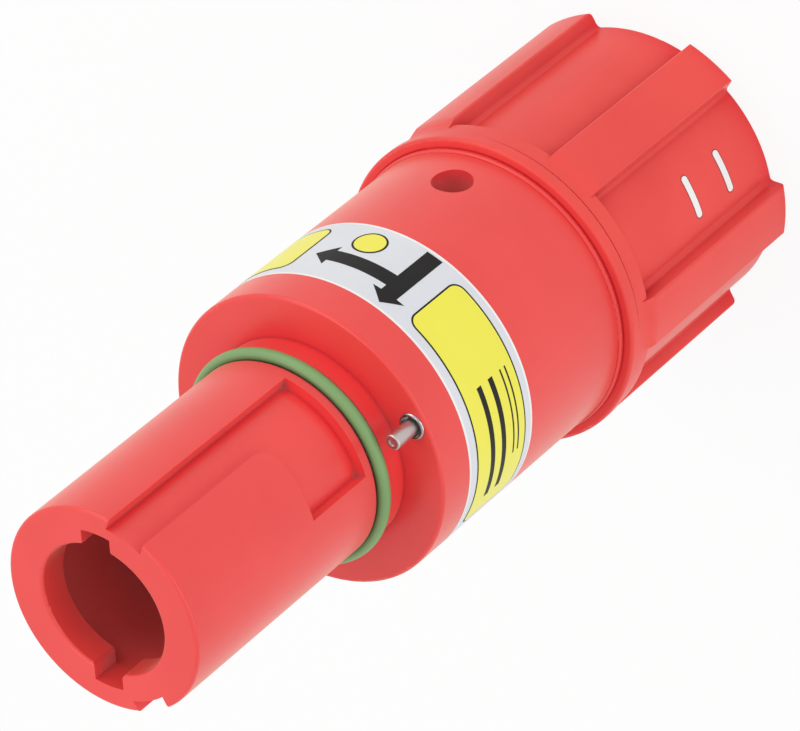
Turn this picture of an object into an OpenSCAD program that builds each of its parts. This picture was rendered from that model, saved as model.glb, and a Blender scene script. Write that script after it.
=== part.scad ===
// Single-pole power connector for a cable: a keyed nose with two bayonet slots and a
// spring-loaded locking pin, a round body with a wrapped label, and a ribbed rear sleeve
// that closes the cable gland. It stands on its rear end, with the nose pointing up.

/* [Lengths] */
// Rear sleeve, from its rear face to the front of its rim
sleeve_len = 53; // [49:0.5:62]
// Body, from the front of the rim to the shoulder face
body_len = 56.2; // [52:0.2:70]
// Nose, from the shoulder face to its tip
nose_len = 58.8; // [54:0.2:70]

/* [Nose] */
// Outside diameter of the nose
nose_d = 40; // [39:0.2:40.8]
// Bore of the lip at the mouth
lip_bore_d = 25.6; // [22:0.2:28]
// Length of the lip
lip_len = 5.7; // [4:0.1:8]
// Diameter of the cavity behind the lip
cavity_d = 32; // [30:0.2:33]
// Depth of the cavity's floor below the tip
cavity_depth = 30; // [24:0.5:34]
// Width of the two keyways through the lip
keyway_w = 6; // [4:0.1:8]
// Diameter across the two keyways
keyway_d = 31.6; // [29:0.2:32]
// Round where a keyway opens into the lip's bore
keyway_round = 1; // [0.4:0.1:1.4]
// Diameter of the nose behind its seal
nose_root_d = 41; // [40.8:0.1:42]

/* [Bayonet slots] */
// Angles of the two entry channels
slot_angles = [-20, -152];
// Width of an entry channel
slot_w = 7.4; // [5:0.1:9]
// Depth of the slots
slot_depth = 2.2; // [1.2:0.1:2.4]
// Width of the locking run along the axis
run_w = 15.3; // [10:0.1:20]
// Gap between the shoulder face and the locking run
run_gap = 9.3; // [8.6:0.1:13]
// Turn from the channel to the end of the run
run_turn = 56; // [40:1:70]
// Round where a channel opens into its run
run_corner = 4; // [1:0.5:6]

/* [Body] */
// Outside diameter of the body
body_d = 57.8; // [57:0.2:60]
// Thickness of the shoulder
shoulder_t = 8.2; // [6:0.2:12]
// Diameter of the carrier that the body holds
carrier_d = 42.8; // [42.4:0.1:43.6]
// Diameter of the stub that the rear sleeve screws on
stub_d = 52; // [50.5:0.2:53]
// Height of the bead round the rear edge of the body
bead_h = 0.5; // [0.3:0.05:0.7]
// Width of the bead
bead_w = 1; // [0.8:0.1:1.6]
// Step from the body down to its end inside the rear sleeve
spigot_step = 0.9; // [0.5:0.1:1.4]
// How far the body reaches into the rear sleeve's mouth
mouth_depth = 6; // [4:0.5:9]
// Diameter of the side hole
side_hole_d = 7.8; // [5:0.1:10]
// Gap between the rim and the centre of the side hole
side_hole_gap = 9.6; // [7:0.1:14]

/* [Label] */
// Width of the label
label_w = 19.4; // [14:0.2:24]
// Thickness of the label
label_t = 0.3; // [0.2:0.05:0.5]
// Gap between the shoulder face and the label
label_gap = 8; // [5:0.2:12]

/* [Locking pin] */
// Diameter of the pin
pin_d = 3; // [2.4:0.1:3.4]
// How far the pin stands out of the shoulder face
pin_stand = 6; // [4:0.1:8]
// Angle of the pin round the axis
pin_angle = -64; // [-80:1:-50]
// Diameter of the circle that the pin stands on
pin_circle_d = 51; // [50:0.2:51.6]
// Diameter of the bush round the pin
bush_d = 5.2; // [5:0.1:5.6]
// Length of the bush inside the shoulder
bush_len = 7; // [5:0.1:9]
// How far the bush stands out
bush_stand = 0.4; // [0.2:0.1:0.8]
// Wall of the bush round the recess in its front
bush_lip = 0.55; // [0.45:0.05:0.7]
// Depth of the recess in the bush's front
bush_recess = 1.2; // [0.6:0.1:2]
// Diameter of the dimple in the pin's end
dimple_d = 1.3; // [0.8:0.1:1.6]
// Depth of the dimple
dimple_depth = 0.3; // [0.2:0.1:0.6]
// Diameter of the pin's head
head_d = 4.4; // [4.2:0.1:4.6]
// Length of the pin's head
head_len = 3; // [2:0.1:5]
// Length of the spring behind the pin
spring_len = 21.2; // [16:0.2:26]
// Outside diameter of the spring
spring_d = 4.1; // [3.6:0.1:4.2]
// Wire of the spring
spring_wire = 0.6; // [0.4:0.05:0.7]
// Turns of the spring
spring_turns = 9; // [6:1:12]

/* [Seals] */
// Cord of the nose seal
nose_cord_d = 2.5; // [2.2:0.1:2.9]
// Depth of the nose seal's groove
nose_groove_depth = 0.9; // [0.6:0.1:1.2]
// Gap between the shoulder face and the middle of the nose seal
nose_seal_gap = 5.8; // [5:0.1:6.4]
// Cord of the small inner seals
inner_cord_d = 1.5; // [1.2:0.1:1.9]

/* [Contact] */
// Bore of the socket
socket_bore_d = 14; // [10:0.2:15]
// Outside diameter of the socket
socket_d = 22; // [20:0.2:23]
// Depth of the socket's bore
socket_depth = 30; // [24:0.5:32]
// Length of the socket in front of the flange
socket_len = 36; // [34:0.5:42]
// Diameter of the contact's flange
flange_d = 27.8; // [26.6:0.1:28.6]
// Thickness of the flange
flange_t = 4; // [3:0.5:6]
// Diameter of the conductor barrel
barrel_d = 27; // [25.4:0.1:27.2]
// Length of the conductor barrel
barrel_len = 38; // [32:0.5:44]
// Bore of the conductor barrel
conductor_d = 18.5; // [14:0.1:19.5]
// Depth of the conductor bore
conductor_depth = 34; // [30:0.5:38]
// Diameter of the terminal screws
screw_d = 8; // [6:0.5:9]
// Distance between the terminal screws
screw_pitch = 14; // [11:0.5:16]
// Length of the spring band in the socket
band_len = 10; // [6:0.5:14]
// Thickness of the spring band
band_t = 0.5; // [0.3:0.05:0.8]
// Thickness of the insulating ring in front of the socket
guard_t = 3.5; // [3:0.1:6]
// How deep the insulating ring sits below the cavity's floor
guard_seat = 2; // [1.5:0.1:2.5]

/* [Rear sleeve] */
// Diameter of the rim
rim_d = 62.7; // [62:0.1:66]
// Width of the rim
rim_w = 2.4; // [1.6:0.1:4]
// Diameter of the smooth collar behind the rim
collar_d = 61.9; // [61.2:0.1:62]
// Width of the smooth collar
collar_w = 3.8; // [2:0.1:6]
// Least wall of the collar and the rim round the end of the body
mouth_wall = 2.8; // [2:0.1:2.8]
// Width of the rim's front face
rim_face = 1.65; // [1.2:0.05:2]
// Diameter of the barrel between the ribs
grip_d = 57; // [56:0.2:58]
// Diameter across the ribs
rib_d = 63.7; // [62.8:0.1:67]
// Number of ribs
rib_count = 6; // [4:1:8]
// Width of a rib
rib_w = 10.4; // [6:0.2:13]
// Round along the outer edges of a rib
rib_round = 0.5; // [0.4:0.1:1.4]
// Fillet at the foot of a rib
rib_fillet = 1.2; // [0.4:0.1:2]
// Thickness of the wall at the rear end
end_wall = 6; // [4:0.5:9]
// Hole for the cable
cable_hole_d = 34; // [28:0.5:35]

/* [Cable gland] */
// Bore of the cable seal
cable_d = 25; // [20:0.5:27]
// Outside diameter of the cable seal
cable_seal_d = 36; // [35.4:0.2:37]
// Length of the clamp cage
cage_len = 20; // [16:0.5:24]
// Length of the cage's slotted fingers
finger_len = 14; // [10:0.5:15]
// Number of fingers
finger_count = 12; // [6:1:16]
// Length of the cone that squeezes the fingers
cone_len = 8; // [5:0.5:10]
// Thickness of the cable seal's front flange
seal_flange_t = 5; // [3:0.5:7]
// Thickness of the thrust washer
washer_t = 3; // [2:0.5:5]

/* [Fits] */
// Radial clearance between pieces that slide together
fit_gap = 0.1; // [0.05:0.01:0.15]
// Radial clearance of the pin in its bush
run_clear = 0.05; // [0.02:0.01:0.08]
// Radial gap round the nose where it leaves the body
root_gap = 0.03; // [0.02:0.01:0.08]
// Small round on moulded edges
edge_round = 0.7; // [0.3:0.1:1]

/* [Hidden] */
$fn = 96;

// Colours
red = [0.91, 0.25, 0.24];
seal_green = [0.45, 0.66, 0.40];
steel = [0.75, 0.76, 0.78];
silver = [0.86, 0.85, 0.82];
black_rubber = [0.08, 0.08, 0.09];
dark_plastic = [0.16, 0.16, 0.17];
label_grey = [0.85, 0.86, 0.89];

// Stations along the axis, from the rear end
z_shoulder = sleeve_len + body_len;
z_tip = z_shoulder + nose_len;
z_floor = z_tip - cavity_depth;
z_step = z_shoulder - shoulder_t;
z_mouth = sleeve_len - mouth_depth;
z_body = sleeve_len + fit_gap;
z_stub = end_wall + cage_len;
z_washer = z_stub + seal_flange_t;
z_carrier = z_washer + washer_t;
z_side_hole = sleeve_len + side_hole_gap;
z_label = z_shoulder - label_gap - label_w;
z_nose_seal = z_shoulder + nose_seal_gap;
z_socket = z_floor - guard_seat;
z_flange = z_socket - socket_len;
z_barrel = z_flange - flange_t - barrel_len;
z_run = z_shoulder + run_gap;

// Grooves for the seals and the retaining ring
inner_groove_w = 1.5 * inner_cord_d;
nose_groove_w = nose_cord_d + 0.9;
seal_squeeze = 0.02;
z_insert_seal = z_side_hole + side_hole_d / 2 + 4;
z_sleeve_seal = z_mouth + mouth_depth / 2;
z_contact_seal = z_flange + 3 + inner_groove_w / 2;
ring_t = 1.8;
ring_groove_depth = 1.6;
ring_lip = 0.4;
z_ring = z_flange - flange_t - ring_t - 0.05;
seat_d = flange_d + 2 * fit_gap;
carrier_bore_d = carrier_d + 2 * fit_gap;
side_seat = 0.6;

// Stations of the locking pin
z_bush = z_shoulder - bush_len;
stop_gap = 0.05;
z_head_top = z_bush - stop_gap;
z_head = z_head_top - head_len;
z_spring = z_head - spring_len;
pocket_d = head_d + 2 * fit_gap;

// Stations of the rear sleeve
z_collar = sleeve_len - rim_w;
z_pocket = z_collar - collar_w;
pocket_ramp = (collar_d - grip_d) / 6;
rim_line_w = 0.5;
rim_line_depth = 0.25;
rib_end_round = 1;
rib_fade = 3;
rib_start = edge_round;
mouth_d = min(body_d - 2 * spigot_step + 2 * fit_gap, min(collar_d, rim_d) - 2 * mouth_wall);
spigot_d = mouth_d - 2 * fit_gap;
mouth_chamfer_len = 0.4;
cone_small_d = cable_seal_d + 5;
sleeve_bore_d = stub_d + 2 * fit_gap;
over = 1;

// Removes the corner of a revolved outline at radius r and height z
module corner_off(r, z, size, side = 1, up = 1) {
    x_low = side > 0 ? 0 : -size - over;
    z_low = up > 0 ? 0 : -size - over;
    translate([r - side * size, z - up * size])
        difference() {
            translate([x_low, z_low]) square(size + over);
            circle(r = size);
        }
}

// Rectangle of a revolved outline
module band(r_in, r_out, z_low, z_high) {
    translate([r_in, z_low]) square([r_out - r_in, z_high - z_low]);
}

// O-ring of a given cord, lying on a groove floor of radius r
module o_ring(floor_r, cord_d, z) {
    translate([0, 0, z])
        rotate_extrude()
            translate([floor_r + cord_d / 2 + seal_squeeze, 0])
                circle(d = cord_d - seal_squeeze);
}

// Moves a shape to the locking pin's axis
module at_pin() {
    rotate([0, 0, pin_angle]) translate([pin_circle_d / 2, 0, 0]) children();
}

// Body with the shoulder, the pin's pocket, the side hole and the stub for the rear sleeve
module body_outline() {
    bead_r = body_d / 2 + bead_h;
    difference() {
        union() {
            band(nose_root_d / 2 + root_gap, body_d / 2, z_step, z_shoulder);
            band(carrier_bore_d / 2, body_d / 2, z_body, z_step);
            band(carrier_bore_d / 2, bead_r, z_body, z_body + bead_w);
            band(carrier_bore_d / 2, spigot_d / 2, z_mouth, z_body);
            band(carrier_bore_d / 2, stub_d / 2, z_stub, z_mouth);
        }
        corner_off(body_d / 2, z_shoulder, edge_round);
        corner_off(bead_r, z_body + bead_w, 0.9 * bead_h);
        corner_off(bead_r, z_body, 0.3 * bead_h, 1, -1);
        corner_off(stub_d / 2, z_stub, edge_round, 1, -1);
        band(body_d / 2 - label_t, body_d, z_label, z_label + label_w);
        band(spigot_d / 2 - inner_cord_d, body_d, z_sleeve_seal - inner_groove_w / 2,
             z_sleeve_seal + inner_groove_w / 2);
    }
}

module body_shell() {
    color(red)
        difference() {
            rotate_extrude() body_outline();
            at_pin() {
                translate([0, 0, z_bush]) cylinder(d = bush_d, h = bush_len + over);
                translate([0, 0, z_spring]) cylinder(d = pocket_d, h = z_bush - z_spring + over);
            }
            translate([carrier_d / 4, 0, z_side_hole]) rotate([0, 90, 0]) cylinder(d = side_hole_d, h = body_d);
        }
}

// Nose with its lip and cavity, and the carrier behind it
module nose_outline() {
    difference() {
        union() {
            band(0, carrier_d / 2, z_carrier, z_step);
            band(0, nose_root_d / 2, z_step, z_nose_seal);
            band(0, nose_d / 2, z_nose_seal, z_tip);
        }
        corner_off(nose_d / 2, z_tip, edge_round);
        band(nose_d / 2 - nose_groove_depth, body_d, z_nose_seal - nose_groove_w / 2, z_nose_seal + nose_groove_w / 2);
        band(carrier_d / 2 - inner_cord_d, body_d, z_insert_seal - inner_groove_w / 2, z_insert_seal + inner_groove_w / 2);
        band(0, lip_bore_d / 2, z_floor, z_tip + over);
        corner_off(lip_bore_d / 2, z_tip, edge_round, -1);
        band(0, cavity_d / 2, z_floor, z_tip - lip_len);
        band(0, socket_d / 2 + fit_gap, z_flange - over, z_floor + over);
        band(0, seat_d / 2, z_carrier - over, z_flange);
        band(0, seat_d / 2 + ring_groove_depth, z_ring - 0.05, z_ring + ring_t + 0.05);
    }
}

// Keyway across the axis, with the two corners at the lip's bore rounded in short steps
corner_parts = 5;
function on_round(centre, turn, side) =
    [centre[0] + keyway_round * cos(turn), side * (centre[1] + keyway_round * sin(turn))];

module keyway_section() {
    lip_r = lip_bore_d / 2;
    half = keyway_w / 2;
    centre = [sqrt(pow(lip_r + keyway_round, 2) - pow(half + keyway_round, 2)), half + keyway_round];
    first = 180 + atan2(centre[1], centre[0]);
    step = (270 - first) / corner_parts;
    inside = 0.98 * lip_r / (lip_r + keyway_round);
    intersection() {
        translate([0, -half]) square([keyway_d, keyway_w]);
        circle(d = keyway_d);
    }
    for (side = [-1, 1])
        polygon(concat([[lip_r / 2, 0], inside * [centre[0], side * centre[1]]],
                       [for (i = [1:corner_parts]) on_round(centre, first + step * i, side)],
                       [[centre[0], 0]]));
}

// Keyway through the lip
module keyway() {
    translate([0, 0, z_tip - lip_len - over]) linear_extrude(lip_len + 2 * over) keyway_section();
}

// Bayonet slot: an entry channel from the tip and a locking run round the nose
module slot_section() {
    reach = 1.5 * nose_d;
    difference() {
        union() {
            translate([0, -slot_w / 2]) square([reach, slot_w]);
            polygon([[0, 0], [reach, 0], reach * [cos(run_turn / 2), -sin(run_turn / 2)],
                     reach * [cos(run_turn), -sin(run_turn)]]);
        }
        circle(d = nose_d - 2 * slot_depth);
    }
}

// Wall that stays in front of the locking run, with its corner rounded in short steps
corner_step = 15;
module slot_shoulder() {
    z_front = z_run + run_w;
    far = 2 * nose_d;
    centre = [-slot_w / 2 - run_corner, z_front + run_corner];
    corner = [for (turn = [-90:corner_step:0]) centre + run_corner * [cos(turn), sin(turn)]];
    rotate([90, 0, 90])
        linear_extrude(far)
            polygon(concat([[-far, z_front]], corner, [[-slot_w / 2, z_tip + far], [-far, z_tip + far]]));
}

module bayonet_slot() {
    difference() {
        translate([0, 0, z_run]) linear_extrude(z_tip - z_run + over) slot_section();
        slot_shoulder();
    }
}

module nose_insert() {
    color(red)
        difference() {
            rotate_extrude() nose_outline();
            for (turn = [0, 180]) rotate([0, 0, turn]) keyway();
            for (turn = slot_angles) rotate([0, 0, turn]) bayonet_slot();
            translate([carrier_d / 2 - side_seat, 0, z_side_hole])
                rotate([0, 90, 0]) cylinder(d = side_hole_d, h = body_d);
        }
}

module nose_seal() {
    color(seal_green) o_ring(nose_d / 2 - nose_groove_depth, nose_cord_d, z_nose_seal);
}

module insert_seal() {
    color(black_rubber) o_ring(carrier_d / 2 - inner_cord_d, inner_cord_d, z_insert_seal);
}

module sleeve_seal() {
    color(black_rubber) o_ring(spigot_d / 2 - inner_cord_d, inner_cord_d, z_sleeve_seal);
}

module contact_seal() {
    color(black_rubber) o_ring(socket_d / 2 - inner_cord_d, inner_cord_d, z_contact_seal);
}

// Label wrapped round the body, flush in its recess
module label_band() {
    color(label_grey)
        rotate_extrude() band(body_d / 2 - label_t, body_d / 2, z_label, z_label + label_w);
}

// Bush that keeps the pin's head in
module pin_bush() {
    color(steel)
        at_pin()
            rotate_extrude()
                difference() {
                    band(pin_d / 2 + run_clear, bush_d / 2, z_bush, z_shoulder + bush_stand);
                    corner_off(bush_d / 2, z_shoulder + bush_stand, bush_stand);
                    band(0, bush_d / 2 - bush_lip, z_shoulder + bush_stand - bush_recess, z_shoulder + pin_stand);
                }
}

// Locking pin with its head under the bush
module locking_pin() {
    color(steel)
        at_pin()
            rotate_extrude()
                difference() {
                    union() {
                        band(0, pin_d / 2, z_head, z_shoulder + pin_stand);
                        band(0, head_d / 2, z_head, z_head_top);
                    }
                    corner_off(pin_d / 2, z_shoulder + pin_stand, pin_d / 8);
                    band(0, dimple_d / 2, z_shoulder + pin_stand - dimple_depth, z_shoulder + 2 * pin_stand);
                }
}

// Coil spring with closed ends, as a tube swept along a helix
wire_sides = 6;
turn_steps = 14;
closed_turns = 1;
spring_rings = spring_turns * turn_steps;
closed_pitch = 1.05 * spring_wire;
open_pitch = (spring_len - spring_wire - 2 * closed_turns * closed_pitch) / (spring_turns - 2 * closed_turns);
function spring_height(turn) =
    closed_pitch * min(turn, closed_turns)
    + open_pitch * max(0, min(turn, spring_turns - closed_turns) - closed_turns)
    + closed_pitch * max(0, turn - spring_turns + closed_turns);
function wire_point(ring, side) =
    let (turn = ring / turn_steps,
         around = 360 * side / wire_sides,
         reach = (spring_d - spring_wire) / 2 + spring_wire / 2 * cos(around),
         height = spring_wire / 2 + spring_height(turn) + spring_wire / 2 * sin(around))
    [reach * cos(360 * turn), reach * sin(360 * turn), height];

module pin_spring() {
    points = [for (ring = [0:spring_rings]) for (side = [0:wire_sides - 1]) wire_point(ring, side)];
    walls = [for (ring = [0:spring_rings - 1]) for (side = [0:wire_sides - 1])
        let (next = (side + 1) % wire_sides, low = ring * wire_sides, high = low + wire_sides)
        [low + side, high + side, high + next, low + next]];
    first = [for (side = [0:wire_sides - 1]) side];
    last = [for (side = [wire_sides - 1:-1:0]) spring_rings * wire_sides + side];
    color(steel)
        at_pin() translate([0, 0, z_spring]) polyhedron(points, concat(walls, [first, last]));
}

// Turned contact: socket in front, flange, and conductor barrel behind
band_groove_r = socket_bore_d / 2 + band_t + fit_gap;
z_band = z_socket - socket_depth / 2 - band_len / 2;
screw_places = [z_barrel + 10, z_barrel + 10 + screw_pitch];
module contact_outline() {
    difference() {
        union() {
            band(0, socket_d / 2, z_flange - over, z_socket);
            band(0, flange_d / 2, z_flange - flange_t, z_flange);
            band(0, barrel_d / 2, z_barrel, z_flange - flange_t);
        }
        corner_off(socket_d / 2, z_socket, edge_round);
        corner_off(barrel_d / 2, z_barrel, edge_round, 1, -1);
        band(0, socket_bore_d / 2, z_socket - socket_depth, z_socket + over);
        band(0, band_groove_r, z_band - fit_gap, z_band + band_len + fit_gap);
        band(0, conductor_d / 2, z_barrel - over, z_barrel + conductor_depth);
        band(socket_d / 2 - inner_cord_d, flange_d, z_contact_seal - inner_groove_w / 2, z_contact_seal + inner_groove_w / 2);
    }
}

module contact_socket() {
    color(silver)
        difference() {
            rotate_extrude() contact_outline();
            for (z = screw_places)
                translate([0, 0, z]) rotate([0, 90, 0]) cylinder(d = screw_d + 2 * run_clear, h = barrel_d);
        }
}

// Spring band with slots between its louvres
louvre_count = 12;
louvre_w = 0.8;
band_rim = 1.2;
module contact_band() {
    color([0.80, 0.72, 0.45])
        difference() {
            rotate_extrude() band(socket_bore_d / 2 + fit_gap / 2, socket_bore_d / 2 + band_t, z_band, z_band + band_len);
            for (i = [0:louvre_count - 1])
                rotate([0, 0, 360 * i / louvre_count])
                    translate([0, -louvre_w / 2, z_band + band_rim])
                        cube([socket_d, louvre_w, band_len - 2 * band_rim]);
        }
}

// Insulating ring pressed in front of the socket
guard_open = 0.4;
module contact_guard() {
    color(dark_plastic)
        rotate_extrude()
            difference() {
                band(socket_bore_d / 2 + guard_open, socket_d / 2, z_socket, z_socket + guard_t);
                corner_off(socket_d / 2, z_socket + guard_t, edge_round);
                corner_off(socket_bore_d / 2 + guard_open, z_socket + guard_t, edge_round, -1);
            }
}

// Retaining ring behind the contact's flange, with its opening and two plier holes
module contact_circlip() {
    ring_r = seat_d / 2 + ring_groove_depth - fit_gap;
    inner_r = barrel_d / 2 + 2 * fit_gap;
    eye_d = 0.9;
    opening = 3;
    color(steel)
        difference() {
            rotate_extrude() band(inner_r, ring_r, z_ring, z_ring + ring_t);
            translate([0, -opening / 2, z_ring - over]) cube([body_d, opening, ring_t + 2 * over]);
            for (turn = [-12, 12])
                rotate([0, 0, turn])
                    translate([(inner_r + ring_r) / 2, 0, z_ring - over]) cylinder(d = eye_d, h = ring_t + 2 * over);
        }
}

// Two set screws with hexagon sockets
module terminal_screws() {
    tip_r = conductor_d / 2 + fit_gap;
    end_r = barrel_d / 2 - fit_gap;
    key_d = screw_d / 2;
    color(steel)
        for (z = screw_places)
            translate([tip_r, 0, z]) rotate([0, 90, 0])
                difference() {
                    cylinder(d = screw_d, h = end_r - tip_r);
                    translate([0, 0, (end_r - tip_r) / 3]) cylinder(d = key_d, h = barrel_d, $fn = 6);
                }
}

// Outline of one rib, across the axis, with rounded outer edges and filleted feet
module rib_section() {
    grip_r = grip_d / 2;
    rib_r = rib_d / 2;
    half = rib_w / 2;
    round_x = sqrt(pow(rib_r - rib_round, 2) - pow(half - rib_round, 2));
    fillet_x = sqrt(pow(grip_r + rib_fillet, 2) - pow(half + rib_fillet, 2));
    root_r = grip_r - over;
    intersection() {
        circle(r = rib_r);
        translate([root_r - over, rib_round - half]) square([rib_d, rib_w - 2 * rib_round]);
    }
    translate([root_r - over, -half]) square([round_x - root_r + over, rib_w]);
    for (side = [-1, 1]) {
        translate([round_x, side * (half - rib_round)]) circle(r = rib_round);
        difference() {
            polygon([[root_r - over, 0], [fillet_x, 0], [fillet_x, side * half], [fillet_x, side * (half + rib_fillet)],
                     grip_r / (grip_r + rib_fillet) * [fillet_x, side * (half + rib_fillet)],
                     [root_r - over, side * half]]);
            translate([fillet_x, side * (half + rib_fillet)]) circle(r = rib_fillet);
        }
    }
}

// Envelope that rounds the rear ends of the ribs and fades their fronts into the collar
module rib_envelope() {
    difference() {
        polygon([[0, rib_start], [rib_d / 2, rib_start], [rib_d / 2, z_pocket - rib_fade / 2],
                 [collar_d / 2, z_pocket + rib_fade / 2], [0, z_pocket + rib_fade / 2]]);
        corner_off(rib_d / 2, rib_start, rib_end_round, 1, -1);
    }
}

// Outline of the rear sleeve without its ribs
module sleeve_outline() {
    difference() {
        union() {
            difference() {
                polygon([[0, 0], [grip_d / 2, 0], [grip_d / 2, z_pocket - pocket_ramp],
                         [collar_d / 2, z_pocket], [collar_d / 2, z_collar], [0, z_collar]]);
                corner_off(grip_d / 2, 0, edge_round, 1, -1);
                band(collar_d / 2 - rim_line_depth, rim_d, z_collar - rim_line_w, z_collar + over);
            }
            difference() {
                band(0, rim_d / 2, z_collar, sleeve_len);
                corner_off(rim_d / 2, sleeve_len, edge_round);
                corner_off(rim_d / 2, z_collar, rim_line_depth / 2, 1, -1);
            }
        }
    }
}

// Inside of the rear sleeve: cable hole, cone, thread bore and mouth
module sleeve_bore() {
    mouth_r = mouth_d / 2;
    edge_r = rim_d / 2 - rim_face;
    band(0, cable_hole_d / 2, -over, end_wall + over);
    polygon([[0, end_wall], [cone_small_d / 2, end_wall], [sleeve_bore_d / 2, end_wall + cone_len],
             [sleeve_bore_d / 2, z_mouth], [mouth_r, z_mouth], [mouth_r, sleeve_len - mouth_chamfer_len],
             [edge_r, sleeve_len], [edge_r, sleeve_len + over], [0, sleeve_len + over]]);
}

module gland_sleeve() {
    color(red)
        difference() {
            union() {
                rotate_extrude() sleeve_outline();
                intersection() {
                    rotate_extrude() rib_envelope();
                    linear_extrude(sleeve_len)
                        for (i = [0:rib_count - 1]) rotate([0, 0, 360 * (i + 0.5) / rib_count]) rib_section();
                }
            }
            rotate_extrude() sleeve_bore();
            rotate_extrude() corner_off(cable_hole_d / 2, 0, edge_round, -1, -1);
        }
}

// Washer between the carrier and the cable seal
module thrust_washer() {
    color(dark_plastic)
        rotate_extrude() band(cable_d / 2 + over, carrier_d / 2, z_washer, z_carrier);
}

// Rubber sleeve that grips the cable
seal_end_gap = 0.3;
module cable_seal() {
    color(black_rubber)
        rotate_extrude()
            difference() {
                union() {
                    band(cable_d / 2, cable_seal_d / 2, end_wall + seal_end_gap, z_washer);
                    band(cable_d / 2, carrier_d / 2, z_stub, z_washer);
                }
                corner_off(cable_d / 2, end_wall + seal_end_gap, 2, -1, -1);
            }
}

// Cage with fingers that the cone bends inwards
slit_w = 1.6;
cage_gap = 0.2;
module clamp_cage() {
    inner_r = cable_seal_d / 2 + cage_gap;
    outer_r = sleeve_bore_d / 2 - cage_gap;
    tip_z = end_wall + cage_gap;
    color(dark_plastic)
        difference() {
            rotate_extrude()
                polygon([[inner_r, tip_z], [cone_small_d / 2 - cage_gap, tip_z],
                         [outer_r, end_wall + cone_len + cage_gap], [outer_r, z_stub], [inner_r, z_stub]]);
            for (i = [0:finger_count - 1])
                rotate([0, 0, 360 * i / finger_count])
                    translate([0, -slit_w / 2, end_wall - over]) cube([body_d, slit_w, finger_len + over]);
        }
}

body_shell();
nose_insert();
nose_seal();
label_band();
pin_bush();
locking_pin();
pin_spring();
contact_socket();
contact_band();
contact_guard();
contact_seal();
contact_circlip();
terminal_screws();
insert_seal();
gland_sleeve();
sleeve_seal();
thrust_washer();
cable_seal();
clamp_cage();
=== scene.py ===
# %% [markdown]
# # A single-pole power connector
# The solids of the connector come from CAD and stay exactly where they are. This lesson gives
# them their finish: softly rounded moulded plastic, a rubber ring, a steel pin and a printed
# label. Every step says what the piece is on the real object, and why it is made this way.

# %% Load the frame
import math

import bpy
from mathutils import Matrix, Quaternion, Vector


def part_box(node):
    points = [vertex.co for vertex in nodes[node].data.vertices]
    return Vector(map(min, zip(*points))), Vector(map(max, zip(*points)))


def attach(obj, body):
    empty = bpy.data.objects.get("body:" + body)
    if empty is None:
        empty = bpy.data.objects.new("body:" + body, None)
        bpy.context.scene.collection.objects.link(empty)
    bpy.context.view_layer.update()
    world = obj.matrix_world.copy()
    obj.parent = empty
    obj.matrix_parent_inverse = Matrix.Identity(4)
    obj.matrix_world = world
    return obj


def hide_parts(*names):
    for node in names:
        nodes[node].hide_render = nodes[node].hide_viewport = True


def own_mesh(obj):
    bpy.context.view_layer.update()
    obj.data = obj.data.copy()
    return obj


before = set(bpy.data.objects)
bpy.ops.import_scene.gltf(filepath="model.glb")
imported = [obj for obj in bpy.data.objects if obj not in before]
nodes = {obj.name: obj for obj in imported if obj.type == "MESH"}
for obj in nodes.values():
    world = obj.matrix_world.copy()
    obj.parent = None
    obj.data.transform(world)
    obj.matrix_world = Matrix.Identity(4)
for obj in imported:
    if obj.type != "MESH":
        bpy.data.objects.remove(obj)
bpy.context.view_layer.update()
MM = 0.001

# %% [markdown]
# ## The camera
# The photograph was taken with a long lens, from in front of the nose and above it, with the
# connector lying slantwise across the picture. The connector stands upright here, so the camera
# keeps the same place in relation to it and is rolled about its own line of sight.

# %% Camera
CAMERA_PLACE = Vector((0.50178, -0.45629, 0.68772))
CAMERA_TARGET = Vector((0.00018, -0.00026, 0.08153))
CAMERA_ROLL = math.radians(129.524)
CAMERA_LENS = 228.69
CAMERA_NEAR = 0.01

sight = CAMERA_TARGET - CAMERA_PLACE
level = sight.to_track_quat("-Z", "Y")
turned = level @ Quaternion((0, 0, 1), -CAMERA_ROLL)
bpy.ops.object.camera_add(location=CAMERA_PLACE, rotation=turned.to_euler())
camera = bpy.context.object
camera.name = "photo_camera"
camera.data.lens = CAMERA_LENS
camera.data.clip_start = CAMERA_NEAR
bpy.context.scene.camera = camera
view_right = turned @ Vector((1, 0, 0))
view_up = turned @ Vector((0, 1, 0))
view_back = turned @ Vector((0, 0, 1))
print("camera", round(sight.length, 3), "m from the connector's axis")

# %% [markdown]
# ## Small helpers
# Operators act on whatever is selected, so each step starts by selecting one object only.

# %% Selection helpers
def focus(piece):
    """Selects one object and makes it active."""
    bpy.ops.object.select_all(action="DESELECT")
    piece.select_set(True)
    bpy.context.view_layer.objects.active = piece


def apply_modifiers(piece):
    """Applies every modifier of a piece in order."""
    focus(piece)
    for modifier in list(piece.modifiers):
        bpy.ops.object.modifier_apply(modifier=modifier.name)


def dress(piece, material, body="connector"):
    """Gives a piece its one material and its body."""
    piece.data.materials.clear()
    piece.data.materials.append(material)
    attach(piece, body)


# %% [markdown]
# ## Shared shader effects
# Moulded plastic and rubber both show a very fine grain and a faint cloudiness, and turned metal
# shows rings left by the tool. They could be painted into each material anew. Here each effect is a
# node group, built once, so every material can use it with values of its own.

# %% Grain group
GRAIN_DETAIL = 3.0


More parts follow.
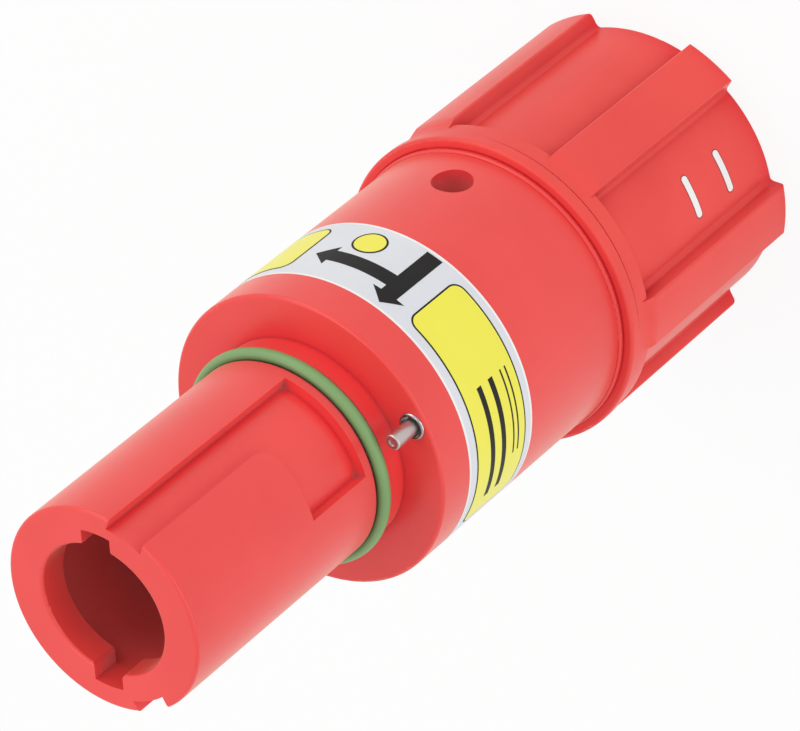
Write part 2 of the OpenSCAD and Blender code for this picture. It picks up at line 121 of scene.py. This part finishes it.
def new_group(name, inputs, outputs):
    """Makes an empty shader node group with float sockets."""
    group = bpy.data.node_groups.new(name, "ShaderNodeTree")
    for label, value in inputs:
        socket = group.interface.new_socket(name=label, in_out="INPUT", socket_type="NodeSocketFloat")
        socket.default_value = value
    for label in outputs:
        group.interface.new_socket(name=label, in_out="OUTPUT", socket_type="NodeSocketFloat")
    start = group.nodes.new("NodeGroupInput")
    end = group.nodes.new("NodeGroupOutput")
    return group, start, end


grain_group, start, end = new_group(
    "moulded_grain", [("Grain Scale", 3000.0), ("Cloud Scale", 45.0)], ["Grain", "Cloud"])
place = grain_group.nodes.new("ShaderNodeTexCoord")
for label in ("Grain", "Cloud"):
    noise = grain_group.nodes.new("ShaderNodeTexNoise")
    noise.inputs["Detail"].default_value = GRAIN_DETAIL
    grain_group.links.new(place.outputs["Object"], noise.inputs["Vector"])
    grain_group.links.new(start.outputs[label + " Scale"], noise.inputs["Scale"])
    grain_group.links.new(noise.outputs["Fac"], end.inputs[label])
print("group", grain_group.name)

# %% Turned rings group
RING_DETAIL = 2.0
rings_group, start, end = new_group("turned_rings", [("Ring Scale", 900.0), ("Waver", 1.0)], ["Rings"])
place = rings_group.nodes.new("ShaderNodeTexCoord")
wave = rings_group.nodes.new("ShaderNodeTexWave")
wave.wave_type = "BANDS"
wave.bands_direction = "Z"
wave.inputs["Detail"].default_value = RING_DETAIL
rings_group.links.new(place.outputs["Object"], wave.inputs["Vector"])
rings_group.links.new(start.outputs["Ring Scale"], wave.inputs["Scale"])
rings_group.links.new(start.outputs["Waver"], wave.inputs["Distortion"])
rings_group.links.new(wave.outputs["Fac"], end.inputs["Rings"])
print("group", rings_group.name)

# %% [markdown]
# The colour of a moulding is painted darker and deeper where its own walls crowd round it: beside a
# rib, along a groove, down a hole. This is painted shade; where a colour is paler than the base, as in
# some gaps, it is painted bounce light. Ambient occlusion measures how open a spot is within some
# reach, and a range turns that into a mask. Several masks are made, because a fine groove needs a
# short reach and a deep hole a long one. The mask for rib flanks looks at its own piece only, so that
# the floor under the sleeve doesn't count.

# %% Crease group
OCCLUSION_RAYS = 8
OWN_PIECE_ONLY = "Flank"
# Each row: the mask, its reach in millimetres, how open a spot is at full shade, and at no shade
CREASES = [
    ("Crease", 9.0, 0.28, 0.78),
    ("Flank", 7.0, 0.54, 0.82),
    ("Line", 2.0, 0.40, 0.74),
    ("Hollow", 30.0, 0.10, 0.42),
    ("Gap", 9.0, 0.04, 0.26),
]
crease_group, _, end = new_group("crease_shade", [], [label for label, *_ in CREASES])
for label, reach, shut, clear in CREASES:
    around = crease_group.nodes.new("ShaderNodeAmbientOcclusion")
    around.samples = OCCLUSION_RAYS
    around.only_local = label == OWN_PIECE_ONLY
    around.inputs["Distance"].default_value = reach * MM
    spread = crease_group.nodes.new("ShaderNodeMapRange")
    spread.inputs["From Min"].default_value = shut
    spread.inputs["From Max"].default_value = clear
    spread.inputs["To Min"].default_value = 1.0
    spread.inputs["To Max"].default_value = 0.0
    crease_group.links.new(around.outputs["AO"], spread.inputs["Value"])
    crease_group.links.new(spread.outputs["Result"], end.inputs[label])
print("group", crease_group.name)

# %% [markdown]
# ## Materials
# A material starts from the Principled shader. The grain group drifts the base colour between
# two close tones, moves the roughness a little and gives the surface a bump far too fine to see
# as a shape, which is what keeps moulded plastic from looking like glass. A thin sheen, set on the
# shader itself, pales the plastic where it turns away from the eye.

# %% Material builders
TONE_FROM = 0.3
TONE_TO = 0.7
GRAIN_DEPTH = 0.05 * MM
RING_DEPTH = 0.03 * MM


def blank_material(name):
    """Makes a material with a Principled shader and returns its tree and shader."""
    material = bpy.data.materials.new(name)
    material.use_nodes = True
    tree = material.node_tree
    return material, tree, tree.nodes["Principled BSDF"]


def add_range(tree, source, low, high, target):
    """Maps a 0 to 1 mask on to a range of values."""
    spread = tree.nodes.new("ShaderNodeMapRange")
    spread.inputs["To Min"].default_value = low
    spread.inputs["To Max"].default_value = high
    tree.links.new(source, spread.inputs["Value"])
    tree.links.new(spread.outputs["Result"], target)


def add_bump(tree, source, shader, strength, distance):
    """Turns a mask into a bump on the shader's normal."""
    bump = tree.nodes.new("ShaderNodeBump")
    bump.inputs["Strength"].default_value = strength
    bump.inputs["Distance"].default_value = distance
    tree.links.new(source, bump.inputs["Height"])
    tree.links.new(bump.outputs["Normal"], shader.inputs["Normal"])


def add_tones(tree, source, dark, light, target):
    """Drifts a colour between two tones."""
    ramp = tree.nodes.new("ShaderNodeValToRGB")
    ramp.color_ramp.elements[0].position = TONE_FROM
    ramp.color_ramp.elements[1].position = TONE_TO
    ramp.color_ramp.elements[0].color = (*dark, 1)
    ramp.color_ramp.elements[1].color = (*light, 1)
    tree.links.new(source, ramp.inputs["Fac"])
    tree.links.new(ramp.outputs["Color"], target)
    return ramp.outputs["Color"]


def add_tint(tree, tones, mask, tint):
    """Mixes a tint into a colour by a mask and returns the result."""
    mix = tree.nodes.new("ShaderNodeMix")
    mix.data_type = "RGBA"
    mix.inputs["B"].default_value = (*tint, 1)
    tree.links.new(mask, mix.inputs["Factor"])
    tree.links.new(tones, mix.inputs["A"])
    return mix.outputs["Result"]


def add_painted_shade(tree, tones, shade_tints, target):
    """Paints shade into the colour in creases, flanks, fine lines, hollows and gaps, one after the
    other.
    """
    shade = tree.nodes.new("ShaderNodeGroup")
    shade.node_tree = crease_group
    for label, tint in shade_tints.items():
        tones = add_tint(tree, tones, shade.outputs[label], tint)
    tree.links.new(tones, target)


def moulded(name, dark, light, rough, shade_tints=None, sheen=None, bump=0.12, specular=0.5):
    """Plastic, rubber or film: two close tones, a grain, a soft gloss and painted shade in its
    hollows.
    """
    material, tree, shader = blank_material(name)
    grain = tree.nodes.new("ShaderNodeGroup")
    grain.node_tree = grain_group
    tones = add_tones(tree, grain.outputs["Cloud"], dark, light, shader.inputs["Base Color"])
    if shade_tints:
        add_painted_shade(tree, tones, shade_tints, shader.inputs["Base Color"])
    shader.inputs["Specular IOR Level"].default_value = specular
    if sheen:
        shader.inputs["Sheen Weight"].default_value = sheen["weight"]
        shader.inputs["Sheen Roughness"].default_value = sheen["rough"]
        shader.inputs["Sheen Tint"].default_value = (*sheen["tint"], 1)
    add_range(tree, grain.outputs["Grain"], rough[0], rough[1], shader.inputs["Roughness"])
    add_bump(tree, grain.outputs["Grain"], shader, bump, GRAIN_DEPTH)
    return material


def turned_metal(name, dark, light, rough, ring_scale=900.0, bump=0.15):
    """Turned metal: fine rings in its tone, its roughness and its relief."""
    material, tree, shader = blank_material(name)
    rings = tree.nodes.new("ShaderNodeGroup")
    rings.node_tree = rings_group
    rings.inputs["Ring Scale"].default_value = ring_scale
    add_tones(tree, rings.outputs["Rings"], dark, light, shader.inputs["Base Color"])
    add_range(tree, rings.outputs["Rings"], rough[0], rough[1], shader.inputs["Roughness"])
    add_bump(tree, rings.outputs["Rings"], shader, bump, RING_DEPTH)
    shader.inputs["Metallic"].default_value = 1.0
    return material


# %% [markdown]
# The body, the nose and the sleeve are three mouldings of the same red. They differ in the shade
# painted into their hollows: the nose has a deep mouth, the sleeve has ribs, and the body meets both.

# %% Red mouldings
RED_DARK = (0.74, 0.048, 0.043)
RED_LIGHT = (0.80, 0.058, 0.052)
RED_ROUGH = (0.30, 0.38)
SLEEVE_DARK = (0.75, 0.067, 0.058)
SLEEVE_LIGHT = (0.81, 0.080, 0.069)
SLEEVE_SPECULAR = 0.2
RED_SHEEN = {"weight": 0.6, "rough": 0.30, "tint": (1.0, 0.55, 0.38)}
SLEEVE_SHEEN = {"weight": 0.4, "rough": 0.22, "tint": (1.0, 0.58, 0.40)}
# Painted shade for each mask: darker reds in creases, flanks, lines and hollows; the paler reds in
# some gaps and in the nose's creases are painted bounce light
BODY_PAINTED_SHADE = {"Crease": (0.80, 0.022, 0.034), "Line": (0.62, 0.014, 0.024),
              "Hollow": (0.66, 0.200, 0.195), "Gap": (0.92, 0.18, 0.17)}
NOSE_PAINTED_SHADE = {"Crease": (0.95, 0.026, 0.042), "Line": (0.62, 0.014, 0.024),
              "Hollow": (0.62, 0.290, 0.280), "Gap": (0.46, 0.20, 0.20)}
SLEEVE_PAINTED_SHADE = {"Crease": (0.80, 0.022, 0.034), "Flank": (0.48, 0.006, 0.014),
                "Line": (0.72, 0.020, 0.030), "Gap": (0.92, 0.18, 0.17)}
body_red = moulded("body_red", RED_DARK, RED_LIGHT, RED_ROUGH, BODY_PAINTED_SHADE, RED_SHEEN)
nose_red = moulded("nose_red", RED_DARK, RED_LIGHT, RED_ROUGH, NOSE_PAINTED_SHADE, RED_SHEEN)
sleeve_red = moulded("sleeve_red", SLEEVE_DARK, SLEEVE_LIGHT, RED_ROUGH, SLEEVE_PAINTED_SHADE, SLEEVE_SHEEN,
                     specular=SLEEVE_SPECULAR)
print("red mouldings", len(bpy.data.materials))

# %% Rubber, film, ink and metal
# Painted shade: a darker green in the ring's creases and gaps
GREEN_PAINTED_SHADE = {"Crease": (0.10, 0.18, 0.07), "Gap": (0.04, 0.08, 0.03)}
GREEN_SHEEN = {"weight": 0.2, "rough": 0.35, "tint": (0.7, 0.9, 0.6)}
INK_BUMP = 0.04
INK_SPECULAR = 0.15
PAINT_BUMP = 0.2
green_rubber = moulded("green_rubber", (0.16, 0.31, 0.110), (0.20, 0.36, 0.135), (0.42, 0.54),
                       GREEN_PAINTED_SHADE, GREEN_SHEEN)
black_rubber = moulded("black_rubber", (0.014, 0.014, 0.015), (0.022, 0.022, 0.023), (0.55, 0.70))
dark_plastic = moulded("dark_plastic", (0.020, 0.020, 0.022), (0.032, 0.032, 0.034), (0.40, 0.52))
label_film = moulded("label_film", (0.63, 0.65, 0.70), (0.69, 0.71, 0.75), (0.30, 0.38), bump=INK_BUMP)
yellow_print = moulded("yellow_print", (0.79, 0.74, 0.055), (0.83, 0.78, 0.075), (0.30, 0.38),
                       bump=INK_BUMP)
black_print = moulded("black_print", (0.013, 0.012, 0.012), (0.020, 0.018, 0.018), (0.42, 0.52),
                      bump=INK_BUMP, specular=INK_SPECULAR)
# Painted shade: the dark red line round each white bar stands for the shadow at the rim of its recess
bar_painted_shade = moulded("bar_painted_shade", (0.22, 0.020, 0.020), (0.28, 0.026, 0.026), (0.5, 0.6))
white_paint = moulded("white_paint", (0.78, 0.78, 0.78), (0.86, 0.86, 0.86), (0.45, 0.60),
                      bump=PAINT_BUMP)
bright_steel = turned_metal("bright_steel", (0.52, 0.51, 0.51), (0.66, 0.65, 0.65), (0.22, 0.34))
pin_steel = turned_metal("pin_steel", (0.47, 0.435, 0.42), (0.63, 0.59, 0.575), (0.32, 0.44))
bush_steel = turned_metal("bush_steel", (0.38, 0.37, 0.37), (0.52, 0.51, 0.51), (0.12, 0.20))
plated_silver = turned_metal("plated_silver", (0.72, 0.71, 0.67), (0.86, 0.85, 0.81), (0.18, 0.30))
band_bronze = turned_metal("band_bronze", (0.60, 0.42, 0.17), (0.74, 0.55, 0.26), (0.22, 0.34))
print("materials", len(bpy.data.materials))

# %% [markdown]
# ## Softened copies of the solids
# CAD edges are perfectly sharp, and a moulded edge never is: it has a small round that catches the
# light. A copy of each visible solid is merged, its flat triangles are dissolved, and a narrow
# bevel runs along every remaining edge. The copy stands for the solid, which keeps its place.

# %% How a copy is softened
MERGE_WITHIN = 0.002 * MM
FLAT_WITHIN = math.radians(0.4)
EDGE_FROM = math.radians(38)


def softened(node, name, material, body="connector", bevel=0.2, segments=3, crisp=24):
    """Copies a CAD node, rounds its edges by a bevel in mm and smooths angles below crisp degrees."""
    focus(nodes[node])
    bpy.ops.object.duplicate()
    piece = bpy.context.object
    piece.name = name
    piece.data.name = name
    focus(piece)
    bpy.ops.object.mode_set(mode="EDIT")
    bpy.ops.mesh.select_all(action="SELECT")
    bpy.ops.mesh.remove_doubles(threshold=MERGE_WITHIN)
    bpy.ops.mesh.dissolve_limited(angle_limit=FLAT_WITHIN)
    bpy.ops.object.mode_set(mode="OBJECT")
    if bevel:
        edge = piece.modifiers.new("edge", "BEVEL")
        edge.width = bevel * MM
        edge.segments = segments
        edge.limit_method = "ANGLE"
        edge.angle_limit = EDGE_FROM
        edge.use_clamp_overlap = True
    apply_modifiers(piece)
    bpy.ops.object.shade_smooth_by_angle(angle=math.radians(crisp))
    even = piece.modifiers.new("even", "WEIGHTED_NORMAL")
    even.keep_sharp = True
    apply_modifiers(piece)
    dress(piece, material, body)
    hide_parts(node)
    print(name, len(piece.data.polygons), "faces")
    return piece


# %% Softened copies
softened("body_shell", "body", body_red)
softened("nose_insert", "nose", nose_red, crisp=18)
softened("gland_sleeve", "ribbed_sleeve", sleeve_red, crisp=14)
softened("nose_seal", "nose_ring", green_rubber, bevel=0)
softened("locking_pin", "lock_pin", pin_steel, body="pin", bevel=0.1)
softened("pin_bush", "lock_bush", bush_steel, bevel=0.1)
softened("contact_guard", "socket_guard", dark_plastic)
softened("cable_seal", "cable_seal_sleeve", black_rubber, bevel=0.4)
softened("clamp_cage", "clamp_fingers", dark_plastic, bevel=0.15, segments=2)
softened("contact_socket", "socket_contact", plated_silver)
softened("label_band", "label_film", label_film, bevel=0)
spring = softened("pin_spring", "lock_spring", bright_steel, bevel=0)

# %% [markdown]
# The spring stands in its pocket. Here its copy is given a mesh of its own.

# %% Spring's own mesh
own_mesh(spring)

# %% [markdown]
# The pieces inside are seen only through the mouth or when the connector is taken apart. Their CAD
# solids are fine as they are and get a material only.

# %% Inner pieces
INNER_FINISH = {
    "contact_band": band_bronze, "contact_seal": black_rubber,
    "contact_circlip": bright_steel, "terminal_screws": bright_steel, "insert_seal": black_rubber,
    "sleeve_seal": black_rubber, "thrust_washer": dark_plastic,
}
for node, material in INNER_FINISH.items():
    nodes[node].data.materials.clear()
    nodes[node].data.materials.append(material)
print("inner pieces", len(INNER_FINISH))

# %% [markdown]
# ## The printed label
# Print is flat until the label is wrapped round the body, and it is modelled that way: x runs round
# the body, z along it, and the outside faces -y. Each piece is cut into narrow strips so that it
# bends smoothly, gets its thickness, and is then bent to its radius and stood in place. The print is
# plain: two fields, two arrows, a disc and some ruled lines.

# %% Flat pieces
CORNER_STEPS = 6
DISC_SIDES = 40


def grown(low, high, by):
    """Moves two (x, z) corners apart, so that a plate between them is larger on every side."""
    return (low[0] - by, low[1] - by), (high[0] + by, high[1] + by)


def flat_plate(name, low, high, rounded=0.0):
    """A flat rectangle between two (x, z) corners in millimetres, with rounded corners."""
    middle = ((low[0] + high[0]) / 2 * MM, 0, (low[1] + high[1]) / 2 * MM)
    bpy.ops.mesh.primitive_plane_add(size=1, location=middle, rotation=(math.pi / 2, 0, 0))
    plate = bpy.context.object
    plate.name = name
    plate.data.name = name
    plate.scale = ((high[0] - low[0]) * MM, (high[1] - low[1]) * MM, 1)
    bpy.ops.object.transform_apply(location=True, rotation=True, scale=True)
    if rounded:
        bpy.ops.object.mode_set(mode="EDIT")
        bpy.ops.mesh.select_all(action="SELECT")
        bpy.ops.mesh.bevel(offset=rounded * MM, segments=CORNER_STEPS, affect="VERTICES")
        bpy.ops.object.mode_set(mode="OBJECT")
    return plate


def flat_arrow(name, tail, tip, bar, wings, head, sideways):
    """A flat arrow: a bar from tail to the head's foot, and a three-sided head."""
    foot = tip[0] - head if sideways else tip[1] - head
    if sideways:
        arrow = flat_plate(name, (tail[0], tail[1] - bar / 2), (foot, tail[1] + bar / 2))
        middle = ((foot + head / 3) * MM, 0, tip[1] * MM)
    else:
        arrow = flat_plate(name, (tail[0] - bar / 2, tail[1]), (tail[0] + bar / 2, foot))
        middle = (tip[0] * MM, 0, (foot + head / 3) * MM)
    turn = math.pi / 2 if sideways else 0
    bpy.ops.mesh.primitive_circle_add(
        vertices=3, radius=1, fill_type="NGON", location=middle, rotation=(math.pi / 2, turn, 0))
    point = bpy.context.object
    point.scale = (wings / math.sqrt(3) * MM, head / 1.5 * MM, 1)
    bpy.ops.object.transform_apply(location=True, rotation=True, scale=True)
    arrow.select_set(True)
    bpy.context.view_layer.objects.active = arrow
    bpy.ops.object.join()
    return arrow


def flat_disc(name, middle, radius):
    """A flat disc round an (x, z) point in millimetres."""
    bpy.ops.mesh.primitive_circle_add(
        vertices=DISC_SIDES, radius=radius * MM, fill_type="NGON",
        location=(middle[0] * MM, 0, middle[1] * MM), rotation=(math.pi / 2, 0, 0))
    disc = bpy.context.object
    disc.name = name
    disc.data.name = name
    bpy.ops.object.transform_apply(location=True, rotation=True, scale=True)
    return disc


# %% Bending a flat piece round the axis
STRIP = 1.0 * MM
RING_SIDES = 240
SMOOTH_BELOW = math.radians(35)


def wrap(piece, radius, lift, thick):
    """Cuts a flat piece into strips, gives it thickness and bends it round the connector's axis."""
    focus(piece)
    across = [v.co.x for v in piece.data.vertices]
    low, high = min(across), max(across)
    bpy.ops.object.mode_set(mode="EDIT")
    for i in range(1, math.ceil((high - low) / STRIP)):
        bpy.ops.mesh.select_all(action="SELECT")
        bpy.ops.mesh.bisect(plane_co=(low + i * STRIP, 0, 0), plane_no=(1, 0, 0))
    bpy.ops.mesh.select_all(action="SELECT")
    bpy.ops.transform.translate(value=(0, -lift * MM, 0))
    bpy.ops.object.mode_set(mode="OBJECT")
    body_of = piece.modifiers.new("thick", "SOLIDIFY")
    body_of.thickness = thick * MM
    body_of.offset = 1
    bend = piece.modifiers.new("bend", "SIMPLE_DEFORM")
    bend.deform_method = "BEND"
    bend.deform_axis = "Z"
    bend.angle = (high - low) / radius
    apply_modifiers(piece)
    piece.rotation_euler = (0, 0, math.pi / 2)
    piece.location = (radius, 0, 0)
    bpy.ops.object.transform_apply(location=True, rotation=True, scale=True)
    bpy.ops.object.shade_smooth_by_angle(angle=SMOOTH_BELOW)
    return piece


def ring_strip(name, low, high, radius, thick):
    """A thin printed ring round the whole label, between two heights in metres."""
    bpy.ops.mesh.primitive_cylinder_add(
        vertices=RING_SIDES, radius=radius, depth=high - low, end_fill_type="NOTHING",
        location=(0, 0, (low + high) / 2))
    strip = bpy.context.object
    strip.name = name
    strip.data.name = name
    body_of = strip.modifiers.new("thick", "SOLIDIFY")
    body_of.thickness = thick * MM
    body_of.offset = 1
    apply_modifiers(strip)
    bpy.ops.object.transform_apply(location=True, rotation=True, scale=True)
    bpy.ops.object.shade_smooth_by_angle(angle=SMOOTH_BELOW)
    return strip


# %% [markdown]
# The label's place comes from its CAD solid. Angles become lengths round the body, so a field that
# starts 21.5 degrees from the side hole starts that many degrees times the radius along x.

# %% Fields on the label
label_low, label_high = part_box("label_band")
LABEL_R = label_high.x
Z_LOW = label_low.z / MM
ROUND_MM = LABEL_R / MM * math.pi / 180
INK = 0.015
LIFT_EDGE = 0.010
LIFT_ARROW = 0.012
LIFT_FIELD = 0.030
LIFT_RULE = 0.050
FIELDS = {"pin_side": (-122.0, -32.4), "hole_side": (21.5, 111.0)}
FIELD_FOOT = 2.4
FIELD_TOP = 16.7
FIELD_LINE = 0.35
FIELD_CORNER = 2.0
FIELD_LINE_CORNER = 2.3


def printed(piece, material, lift):
    """Wraps a flat piece on the label and gives it its ink."""
    wrap(piece, LABEL_R, lift, INK)
    dress(piece, material)
    print(piece.name, len(piece.data.polygons), "faces")


for side, (first, last) in FIELDS.items():
    low = (first * ROUND_MM, Z_LOW + FIELD_FOOT)
    high = (last * ROUND_MM, Z_LOW + FIELD_TOP)
    edge = flat_plate("field_edge_" + side, *grown(low, high, FIELD_LINE), FIELD_LINE_CORNER)
    printed(edge, black_print, LIFT_EDGE)
    printed(flat_plate("field_" + side, low, high, FIELD_CORNER), yellow_print, LIFT_FIELD)

# %% [markdown]
# Between the fields, one arrow runs along the connector and one round it: push, then turn. A disc
# with a dark edge stands below the second one.

# %% Arrows and disc
X_ARROW = -20.6 * ROUND_MM
X_TIP = 15.4 * ROUND_MM
ARROW_BAR = 3.4
PUSH_FOOT = 0.9
PUSH_TIP = 17.8
PUSH_WINGS = 6.9
PUSH_HEAD = 2.9
TURN_HEIGHT = 11.7
TURN_WINGS = 6.2
TURN_HEAD = 3.5
DOT_PLACE = (1.0 * ROUND_MM, Z_LOW + 5.4)
DOT_EDGE_R = 3.3
DOT_R = 2.9
straight = flat_arrow("arrow_push", (X_ARROW, Z_LOW + PUSH_FOOT), (X_ARROW, Z_LOW + PUSH_TIP),
                      ARROW_BAR, PUSH_WINGS, PUSH_HEAD, False)
printed(straight, black_print, LIFT_ARROW)
turning = flat_arrow("arrow_turn", (X_ARROW + ARROW_BAR / 2, Z_LOW + TURN_HEIGHT),
                     (X_TIP, Z_LOW + TURN_HEIGHT), ARROW_BAR, TURN_WINGS, TURN_HEAD, True)
printed(turning, black_print, LIFT_ARROW)
printed(flat_disc("dot_edge", DOT_PLACE, DOT_EDGE_R), black_print, LIFT_ARROW)
printed(flat_disc("dot", DOT_PLACE, DOT_R), yellow_print, LIFT_FIELD)

# %% [markdown]
# Plain ruled lines fill the first field, two broad and two fine. They lie a hair above the yellow.

# %% Ruled lines in the first field
# Each row: a line's height on the label, its width, and the angles where it starts and ends
RULES = [(11.6, 1.3, -112, -66), (8.2, 1.3, -112, -66), (5.6, 0.4, -100, -66), (4.2, 0.4, -100, -66)]
for i, (height, wide, first, last) in enumerate(RULES):
    low = (first * ROUND_MM, Z_LOW + height)
    high = (last * ROUND_MM, Z_LOW + height + wide)
    printed(flat_plate(f"ruled_line_{i}", low, high), black_print, LIFT_RULE)

# %% [markdown]
# A narrow white margin runs round both ends of the label. It closes on itself, so a thin open
# cylinder does here what bending a long strip would do with a seam.

# %% Margins of the label
MARGIN = 0.5 * MM
MARGIN_LIFT = 0.003 * MM
for side, low in (("rear", label_low.z), ("front", label_high.z - MARGIN)):
    strip = ring_strip("margin_" + side, low, low + MARGIN, LABEL_R + MARGIN_LIFT, INK)
    dress(strip, white_paint)
    print(strip.name, len(strip.data.polygons), "faces")

# %% [markdown]
# ## White bars on the sleeve
# The sleeve carries two small bars of white paint. Round each runs a thin dark line, painted shade
# that stands for the shadow at the edge of its recess. The recess is too shallow to be worth cutting,
# so the painted shade and the paint are two thin layers that are bent to the sleeve's barrel in the
# same way as the print.

# %% White bars
BARREL_R = 28.5 * MM
BAR_MIDDLE = -63.5 * BARREL_R / MM * math.pi / 180
BAR_HEIGHTS = (12.7, 23.3)
BAR_HALF_LONG = 4.2
BAR_HALF_WIDE = 0.8
BAR_LINE = 0.2
BAR_CORNER = 0.7
BAR_LINE_CORNER = 0.9
LIFT_BAR_LINE = 0.006
LIFT_BAR = 0.026
for i, height in enumerate(BAR_HEIGHTS):
    low = (BAR_MIDDLE - BAR_HALF_LONG, height - BAR_HALF_WIDE)
    high = (BAR_MIDDLE + BAR_HALF_LONG, height + BAR_HALF_WIDE)
    edge = flat_plate(f"bar_painted_shade_{i}", *grown(low, high, BAR_LINE), BAR_LINE_CORNER)
    dress(wrap(edge, BARREL_R, LIFT_BAR_LINE, INK), bar_painted_shade)
    paint = flat_plate(f"white_bar_{i}", low, high, BAR_CORNER)
    dress(wrap(paint, BARREL_R, LIFT_BAR, INK), white_paint)
print("bars", BARREL_R / MM, "mm from the axis")

# %% [markdown]
# ## Floor and light
# The connector stands on a pale floor in even studio light. What the camera sees of the floor is
# mostly its own white, with a little of the lit surface mixed in, so a soft shadow stays.

# %% Floor
FLOOR_SIZE = 6
FLOOR_GREY = (0.80, 0.80, 0.80, 1)
FLOOR_ROUGH = 0.9
FLOOR_OWN_WHITE = 0.9
bpy.ops.mesh.primitive_plane_add(size=FLOOR_SIZE, location=(0, 0, 0))
floor = bpy.context.object
floor.name = "floor"
floor_paint, tree, shader = blank_material("floor_paint")
shader.inputs["Base Color"].default_value = FLOOR_GREY
shader.inputs["Roughness"].default_value = FLOOR_ROUGH
glow = tree.nodes.new("ShaderNodeEmission")
seen = tree.nodes.new("ShaderNodeLightPath")
reflected = tree.nodes.new("ShaderNodeMath")
reflected.operation = "MAXIMUM"
visible = tree.nodes.new("ShaderNodeMath")
visible.operation = "MAXIMUM"
share = tree.nodes.new("ShaderNodeMath")
share.operation = "MULTIPLY"
share.inputs[1].default_value = FLOOR_OWN_WHITE
blend = tree.nodes.new("ShaderNodeMixShader")
tree.links.new(seen.outputs["Is Glossy Ray"], reflected.inputs[0])
tree.links.new(seen.outputs["Is Transmission Ray"], reflected.inputs[1])
tree.links.new(seen.outputs["Is Camera Ray"], visible.inputs[0])
tree.links.new(reflected.outputs[0], visible.inputs[1])
tree.links.new(visible.outputs[0], share.inputs[0])
tree.links.new(share.outputs[0], blend.inputs["Fac"])
tree.links.new(shader.outputs["BSDF"], blend.inputs[1])
tree.links.new(glow.outputs["Emission"], blend.inputs[2])
tree.links.new(blend.outputs["Shader"], tree.nodes["Material Output"].inputs["Surface"])
floor.data.materials.append(floor_paint)
print("floor", FLOOR_SIZE, "m wide")

# %% [markdown]
# The photograph shows soft light from all round with broad, weak highlights. An even white world
# gives most of it, and four square lamps, placed as the camera sees them, give the highlights.

# %% Lights
WORLD_LIGHT = 0.83
WARM = (1.0, 0.96, 0.87)
WHITE = (1, 1, 1)
# Each row: the lamp, how far right, up and towards the camera it stands, its size, power and tint
LAMPS = [
    ("upper_left_box", -0.7, 0.6, 0.5, 0.6, 2.4, WARM),
    ("left_box", -0.8, -0.3, 0.6, 0.6, 2.1, WHITE),
    ("right_front_box", 0.6, -0.1, 0.9, 0.5, 1.5, WHITE),
    ("right_low_box", 0.7, -0.5, 0.5, 0.4, 1.0, WHITE),
]
world = bpy.data.worlds.new("studio")
bpy.context.scene.world = world
world.use_nodes = True
world.node_tree.nodes["Background"].inputs["Color"].default_value = (1, 1, 1, 1)
world.node_tree.nodes["Background"].inputs["Strength"].default_value = WORLD_LIGHT


def softbox(name, right, up, back, size, power, tint):
    """Adds a square lamp placed from the camera's own directions, aimed at the connector."""
    place = CAMERA_TARGET + view_right * right + view_up * up + view_back * back
    aim = (CAMERA_TARGET - place).to_track_quat("-Z", "Y")
    bpy.ops.object.light_add(type="AREA", location=place, rotation=aim.to_euler())
    lamp = bpy.context.object
    lamp.name = name
    lamp.data.shape = "SQUARE"
    lamp.data.size = size
    lamp.data.energy = power
    lamp.data.color = tint


for lamp_row in LAMPS:
    softbox(*lamp_row)
bpy.context.scene.view_settings.view_transform = "Standard"
